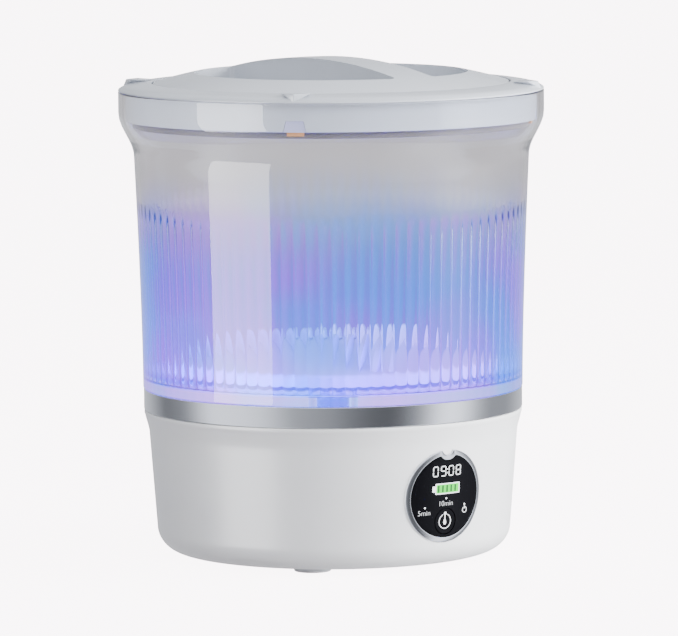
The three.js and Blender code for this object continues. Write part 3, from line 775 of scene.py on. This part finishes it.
def flat_face(outline, depth):
    """A face in the XZ plane at a depth, looking along +Y."""
    shape = bmesh.new()
    face = shape.faces.new([shape.verts.new((x * MM, depth * MM, z * MM)) for x, z in outline])
    face.normal_update()
    if face.normal.y < 0:
        bmesh.ops.reverse_faces(shape, faces=[face])
    return shape, face


def stepped(shape, face, steps):
    """Draws a face in and out: each step is (inwards, outwards) in millimetres."""
    for inwards, outwards in steps:
        bmesh.ops.inset_individual(shape, faces=[face], thickness=inwards * MM, depth=outwards * MM,
                                   use_even_offset=True)


def looped(rings, closed=False):
    """A body over outlines of the same shape, each at its own height over the surface."""
    shape = bmesh.new()
    loops = [[shape.verts.new((x * MM, depth * MM, z * MM)) for x, z in outline] for outline, depth in rings]
    pairs = list(zip(loops, loops[1:]))
    if closed:
        pairs.append((loops[-1], loops[0]))
    for low, high in pairs:
        for index in range(len(low)):
            shape.faces.new((low[index - 1], low[index], high[index], high[index - 1]))
    if not closed:
        bmesh.ops.holes_fill(shape, edges=open_edges(shape))
    bmesh.ops.recalc_face_normals(shape, faces=shape.faces[:])
    return shape


def open_edges(shape):
    return [edge for edge in shape.edges if len(edge.link_faces) == 1]


def wrapped(shape):
    """Lays a flat shape, whose Y is its height over the surface, on the front of the base."""
    for vert in shape.verts:
        reach = (base_radius(vert.co.z / MM) * MM) + vert.co.y
        vert.co.y = -math.sqrt(reach ** 2 - vert.co.x ** 2)
    return shape


def sliced(shape, gap=1.2, tall_gap=2.4):
    """Cuts a flat shape into small patches, so that it can bend."""
    for axis, size in ((0, gap), (2, tall_gap)):
        places = [vert.co[axis] / MM for vert in shape.verts]
        low, high = min(places), max(places)
        count = max(1, int((high - low) / size))
        normal = (1, 0, 0) if axis == 0 else (0, 0, 1)
        for step in range(1, count):
            place = [0, 0, 0]
            place[axis] = (low + (high - low) * step / count) * MM
            everything = shape.verts[:] + shape.edges[:] + shape.faces[:]
            bmesh.ops.bisect_plane(shape, geom=everything, dist=1e-7, plane_co=place, plane_no=normal)
    return shape


def dish_depth(radius):
    """How far the button's dished face stands over the base's surface."""
    rim = BUTTON_RADIUS - 0.5
    return 0.6 - 0.45 * max(0.0, 1 - (radius / rim) ** 2)


def add_display():
    """The silver bezel, the black lens and the dished power button."""
    rings = [(0, -0.3), (0, 0.45), (0.22, 0.7), (1.07, 0.92), (1.92, 1.12), (2.4, 1.2), (2.58, 1.16),
             (BEZEL_WIDTH, 1.0), (BEZEL_WIDTH, -2.9), (1.4, -2.9), (1.4, -0.3)]
    bezel = looped([(bitten_outline(inset), depth) for inset, depth in rings], closed=True)
    add_piece(wrapped(bezel), "bezel", "base", "silver_trim", ["display_bezel"], crease=50)

    edge = BEZEL_WIDTH + 0.3
    rings = [(edge, -1.2), (edge, 0.6), (edge + 0.12, 0.7)]
    lens = looped([(bitten_outline(inset), depth) for inset, depth in rings])
    hole = rod_along_y(BUTTON_RADIUS + 0.3, -5, 5, 0, BUTTON_HEIGHT, 96)
    lens = sliced(carved(lens, hole))
    add_piece(wrapped(lens), "lens", "base", "black_lens", ["display_lens"], crease=50)

    shape, face = flat_face(disc_outline(0, BUTTON_HEIGHT, BUTTON_RADIUS, 96), -2.6)
    radii = [BUTTON_RADIUS - 0.5, 6.0, 5.4, 4.6, 3.7, 2.7, 1.6, 0.6]
    steps = [(0, 2.9), (0.2, 0.2), (0.3, 0.1)]
    for outer, inner in zip(radii, radii[1:]):
        steps.append((outer - inner, dish_depth(inner) - dish_depth(outer)))
    stepped(shape, face, steps)
    bmesh.ops.holes_fill(shape, edges=open_edges(shape))
    add_piece(wrapped(shape), "dished_button", "button", "black_lens", ["power_button"], crease=50)


SIGN_LOW = 0.72  # signs lie just over the lens
SIGN_HIGH = 0.78


def bar(start, end, width):
    """A stroke between two points with pointed ends."""
    start, end = Vector(start), Vector(end)
    along = (end - start).normalized() * width / 2
    side = Vector((-along.y, along.x))
    return [start, start + along + side, end - along + side, end, end - along - side, start + along - side]


def disc_outline(x, z, radius, count=20):
    turns = [2 * math.pi * step / count for step in range(count)]
    return [(x + radius * math.cos(turn), z + radius * math.sin(turn)) for turn in turns]


def rounded_box(x0, x1, z0, z1, size):
    return softened([(x0, z0, size), (x1, z0, size), (x1, z1, size), (x0, z1, size)], 3)


def plates(outlines, low, high):
    """Thin plates of one thickness, given as outlines round the display's centre."""
    whole = bmesh.new()
    for outline in outlines:
        part, face = flat_face([(x, DISPLAY_HEIGHT + z) for x, z in outline], low)
        stepped(part, face, [(0, high - low)])
        bmesh.ops.holes_fill(part, edges=open_edges(part))
        mesh = bpy.data.meshes.new("work")
        part.to_mesh(mesh)
        part.free()
        whole.from_mesh(mesh)
        bpy.data.meshes.remove(mesh)
    return whole


def sign(outlines, name, material, low=SIGN_LOW, high=SIGN_HIGH):
    """Flat lit shapes on the display."""
    whole = plates(outlines, low, high)
    add_piece(wrapped(sliced(whole)), name, "base", "black_lens", material=material)


def digit_strokes(number, x, z):
    """The lit strokes of a seven-stroke digit whose centre is at a point."""
    half = 1.5
    tall = 2.55
    width = 0.46
    corners = {"top": ((-half, tall), (half, tall)), "middle": ((-half, 0), (half, 0)),
               "bottom": ((-half, -tall), (half, -tall)),
               "upper_left": ((-half, 0), (-half, tall)), "upper_right": ((half, 0), (half, tall)),
               "lower_left": ((-half, -tall), (-half, 0)), "lower_right": ((half, -tall), (half, 0))}
    unlit = {0: ["middle"], 8: [], 9: ["lower_left"]}
    lit_strokes = [ends for name, ends in corners.items() if name not in unlit[number]]
    shorter = 0.86
    middles = [((a[0] + b[0]) / 2, (a[1] + b[1]) / 2) for a, b in lit_strokes]
    ends = [[(x + mx + (px - mx) * shorter, z + mz + (pz - mz) * shorter) for px, pz in stroke]
            for stroke, (mx, mz) in zip(lit_strokes, middles)]
    return [bar(a, b, width) for a, b in ends]


def arc_stroke(x, z, radius, width, start, end, steps=30):
    """A round stroke from one bearing to another, in degrees from the top, as short quads."""
    quads = []
    for step in range(steps):
        turns = [math.radians(start + (end - start) * (step + extra) / steps) for extra in (0, 1)]
        inner, outer = [[(x + reach * math.sin(turn), z + reach * math.cos(turn)) for turn in turns]
                        for reach in (radius - width / 2, radius + width / 2)]
        quads.append([inner[0], inner[1], outer[1], outer[0]])
    return quads


def words(text, x, z, size, name):
    """Plain small lettering of numbers and units, laid on the display."""
    curve = bpy.data.curves.new("work", "FONT")
    curve.body = text
    curve.size = size * MM
    curve.offset = -0.07 * MM
    curve.align_x = "CENTER"
    curve.align_y = "CENTER"
    curve.extrude = 0.03 * MM
    holder = bpy.data.objects.new("work", curve)
    bpy.context.scene.collection.objects.link(holder)
    flat = bpy.data.meshes.new_from_object(holder.evaluated_get(bpy.context.evaluated_depsgraph_get()))
    shape = bmesh.new()
    shape.from_mesh(flat)
    bpy.data.objects.remove(holder)
    bpy.data.curves.remove(curve)
    bpy.data.meshes.remove(flat)
    bmesh.ops.remove_doubles(shape, verts=shape.verts[:], dist=1e-7)
    bmesh.ops.rotate(shape, verts=shape.verts[:], cent=(0, 0, 0), matrix=Matrix.Rotation(QUARTER, 3, "X"))
    middle = Vector((x, (SIGN_LOW + SIGN_HIGH) / 2, DISPLAY_HEIGHT + z)) * MM
    bmesh.ops.translate(shape, verts=shape.verts[:], vec=middle)
    add_piece(wrapped(shape), name, "base", "black_lens", material=sign_words)


def add_signs():
    strokes = []
    for number, x in ((0, -7.6), (9, -2.6), (0, 2.6), (8, 7.6)):
        strokes += digit_strokes(number, x, 13.5)
    strokes += [disc_outline(0, 14.5, 0.3), disc_outline(0, 12.5, 0.3)]
    sign(strokes, "clock_digits", sign_white)
    battery = [rounded_box(-7.4, 8.9, 1.1, 6.9, 0.5), rounded_box(-9.3, -7.3, 2.4, 5.6, 0.6)]
    sign(battery, "battery_edge", sign_white)
    sign([rounded_box(-6.8, 8.3, 1.7, 6.3, 0.3)], "battery_fill", sign_green, SIGN_HIGH, SIGN_HIGH + 0.02)
    middles = [-5.4 + 2.8 * index for index in range(5)]
    bars = [rounded_box(middle - 0.65, middle + 0.65, 2.1, 5.9, 0.2) for middle in middles]
    sign(bars, "battery_bars", sign_bar, SIGN_HIGH + 0.02, SIGN_HIGH + 0.04)
    spots = [disc_outline(0, -1.3, 0.5), disc_outline(-13.5, -5.6, 0.5), disc_outline(13.2, -5.6, 0.5)]
    sign(spots, "mode_dots", sign_white)
    words("10min", -0.2, -4.1, 4.0, "ten_minutes")
    words("5min", -13.8, -8.5, 4.0, "five_minutes")
    swirl_x = 13.4
    swirl = arc_stroke(swirl_x, -8.6, 1.5, 0.3, 40, 330)
    swirl.append([(swirl_x - 0.3, -6.4), (swirl_x - 0.3, -8.0), (swirl_x + 0.9, -7.2)])
    sign(swirl, "swirl_sign", sign_white)


def add_power_sign():
    """A ring that is open at its top, with a stroke that ends in a drop, on the dished button."""
    drop_z = BUTTON_HEIGHT - DISPLAY_HEIGHT
    strokes = arc_stroke(0, drop_z, 3.85, 0.36, 22, 338, 44)
    strokes.append(disc_outline(0, drop_z + 4.2, 0.85))
    strokes.append([(-0.2, drop_z + 3.6), (0.2, drop_z + 3.6), (0.26, drop_z + 1.2), (-0.26, drop_z + 1.2)])
    drop = []
    for step in range(24):
        turn = 2 * math.pi * step / 24
        x = 0.85 * math.sin(turn) * (1 - 0.35 * math.cos(turn))
        drop.append((x, drop_z - 0.2 + 1.6 * math.cos(turn)))
    strokes.append(drop)
    whole = plates(strokes, 0, 0.05)
    for vert in whole.verts:
        radius = math.hypot(vert.co.x, vert.co.z - BUTTON_HEIGHT * MM) / MM
        vert.co.y += (dish_depth(radius) + 0.03) * MM
    add_piece(wrapped(whole), "power_sign", "button", "black_lens", material=sign_white)


# ---- lights and stage ---------------------------------------------------------------------
BACKGROUND = 8.8  # how bright the backdrop is
BACKGROUND_TONE = (1.0, 0.91, 0.95, 1.0)
THROUGH = 1.05  # how bright it is through clear plastic
OVERHEAD = 2.4  # how bright it looks above
AMBIENT = 0.5  # how much even light falls on the washer
# How bright the room looks in shiny pieces, at bearings in degrees to the right of the camera
ROOM = (
    (-180, 1.1), (-150, 0.8), (-124, 0.23), (-103, 0.34), (-94, 0.64), (-86, 1.26), (-78, 1.8),
    (-57, 1.65), (-44, 1.4), (-37, 1.08), (-25, 0.58), (-2, 0.42), (10, 0.27), (22, 0.18), (34, 0.135),
    (41, 0.18), (53, 0.46), (60, 1.0), (67, 1.9), (74, 2.5), (82, 2.3), (90, 1.55), (98, 0.82),
    (108, 0.45), (131, 0.46), (155, 0.9), (180, 1.1),
)


def add_world():
    """A studio with soft panels to the left and right, brighter above and dark below the floor."""
    world = bpy.data.worlds.new("studio")
    world.use_nodes = True
    world.node_tree.nodes.clear()
    bpy.context.scene.world = world
    wire = Wire(world.node_tree)
    direction = wire.make("ShaderNodeTexCoord")
    east = wire.make("ShaderNodeSeparateXYZ", None, {"Vector": direction})
    north = east.output("Y")
    rise = east.output("Z")
    ahead = east * towards_camera.x + north * towards_camera.y
    aside = east * to_the_right.x + north * to_the_right.y
    bearing = wire.calculate("ARCTAN2", aside, ahead) * (0.5 / math.pi) + 0.5
    room = None
    for first, last in zip(ROOM, ROOM[1:]):
        inputs = {"Value": bearing, "From Min": first[0] / 360 + 0.5, "From Max": last[0] / 360 + 0.5,
                  "To Min": 0.0, "To Max": last[1] - first[1]}
        step = wire.make("ShaderNodeMapRange", {"clamp": True}, inputs)
        room = step + ROOM[0][1] if room is None else room + step
    above = rise.between(0.25, 0.7)
    room = room * (1 - above) + above * OVERHEAD
    camera_ray = wire.make("ShaderNodeLightPath")
    direct = wire.calculate("LESS_THAN", camera_ray.output("Diffuse Depth"), 0.5)
    through = camera_ray.output("Is Transmission Ray") * direct
    shiny = camera_ray.output("Is Glossy Ray") * direct
    other = 1 - wire.calculate("MINIMUM", camera_ray + through + shiny, 1.0)
    strength = camera_ray * BACKGROUND + through * THROUGH + shiny * room + other * AMBIENT
    tone = wire.colours(camera_ray, (0.93, 0.965, 1.04, 1.0), BACKGROUND_TONE)
    inputs = {"Color": tone, "Strength": strength}
    wire.make("ShaderNodeOutputWorld", None, {"Surface": wire.make("ShaderNodeBackground", None, inputs)})


def tinted(strength):
    """The backdrop's tone at a strength."""
    return tuple(strength * part for part in BACKGROUND_TONE[:3]) + (1.0,)


def add_floor():
    shape = bmesh.new()
    bmesh.ops.create_circle(shape, cap_ends=True, segments=64, radius=9)
    mesh = bpy.data.meshes.new("floor")
    shape.to_mesh(mesh)
    shape.free()
    material, wire, place = start_material("pale_floor")
    fleck = wire.noise(place, 3.0)
    camera_ray = wire.make("ShaderNodeLightPath")
    glow = wire.colours(camera_ray.output("Is Transmission Ray"), tinted(0.3), tinted(THROUGH - 0.5))
    inputs = {
        "Base Color": wire.colours(fleck, (0.30, 0.30, 0.30, 1.0), (0.31, 0.31, 0.31, 1.0)),
        "Roughness": 0.9,
        "Specular IOR Level": 0.0,
        "Emission Color": wire.colours(camera_ray, glow, tinted(BACKGROUND - 0.4)),
        "Emission Strength": 1.0,
    }
    shader = wire.make("ShaderNodeBsdfPrincipled", None, inputs)
    mesh.materials.append(finish_material(material, wire, shader))
    floor = bpy.data.objects.new("floor", mesh)
    bpy.context.scene.collection.objects.link(floor)
    floor.visible_glossy = False
    floor.visible_shadow = False


def add_panel(name, turn, distance, height, width, tall, power, shine_only=False, lit_pieces=None):
    """A soft upright panel of light beside the camera's direction, facing the washer."""
    data = bpy.data.lights.new(name, "AREA")
    data.shape = "RECTANGLE"
    data.size = width
    data.size_y = tall
    data.energy = power
    lamp = bpy.data.objects.new(name, data)
    bpy.context.scene.collection.objects.link(lamp)
    away = Matrix.Rotation(math.radians(turn), 3, "Z") @ towards_camera
    facing = away * distance + Vector((0, 0, max(0.0, height - 0.5)))
    lamp.matrix_world = (Matrix.Translation(away * distance + Vector((0, 0, height)))
                         @ facing.to_track_quat("Z", "Y").to_matrix().to_4x4())
    lamp.visible_camera = False
    lamp.visible_transmission = False
    lamp.visible_diffuse = not shine_only
    lamp.visible_glossy = shine_only
    if lit_pieces:
        group = bpy.data.collections.new(name)
        for piece in lit_pieces:
            group.objects.link(piece)
        lamp.light_linking.receiver_collection = group


def add_glow(count=12):
    """Small lamps over the light ring, blue and violet in turn."""
    for index in range(count):
        data = bpy.data.lights.new(f"led_{index + 1}", "POINT")
        data.energy = 0.5
        data.color = (0.12, 0.25, 1.0) if index % 2 else (0.35, 0.15, 1.0)
        data.shadow_soft_size = 0.006
        lamp = bpy.data.objects.new(f"led_{index + 1}", data)
        bpy.context.scene.collection.objects.link(lamp)
        turn = 2 * math.pi * index / count
        circle = 88 * MM
        lamp.location = (circle * math.cos(turn), circle * math.sin(turn), (TUB_FLOOR + 5) * MM)
        lamp.visible_camera = False
        lamp.visible_glossy = False
        lamp.visible_transmission = False


add_base()
add_band()
add_bottom()
add_feet()
add_tub()
add_pulsator()
add_lid_ring()
add_lid_disc()
add_gasket()
add_display()
add_signs()
add_power_sign()
add_world()
add_floor()
glossy = [bpy.data.objects[name] for name in ("base_shell", "clear_tub", "ring", "domed_disc")]
add_panel("left_softbox", -55, 1.6, 0.5, 1.13, 2.2, 105, shine_only=True, lit_pieces=glossy)
add_panel("left_fill", -60, 1.8, 0.5, 0.8, 1.2, 10)
add_panel("right_panel", 84, 1.7, 0.45, 1.2, 1.6, 160)
add_panel("front_panel", 15, 1.4, 1.4, 1.0, 1.0, 26)
add_glow()
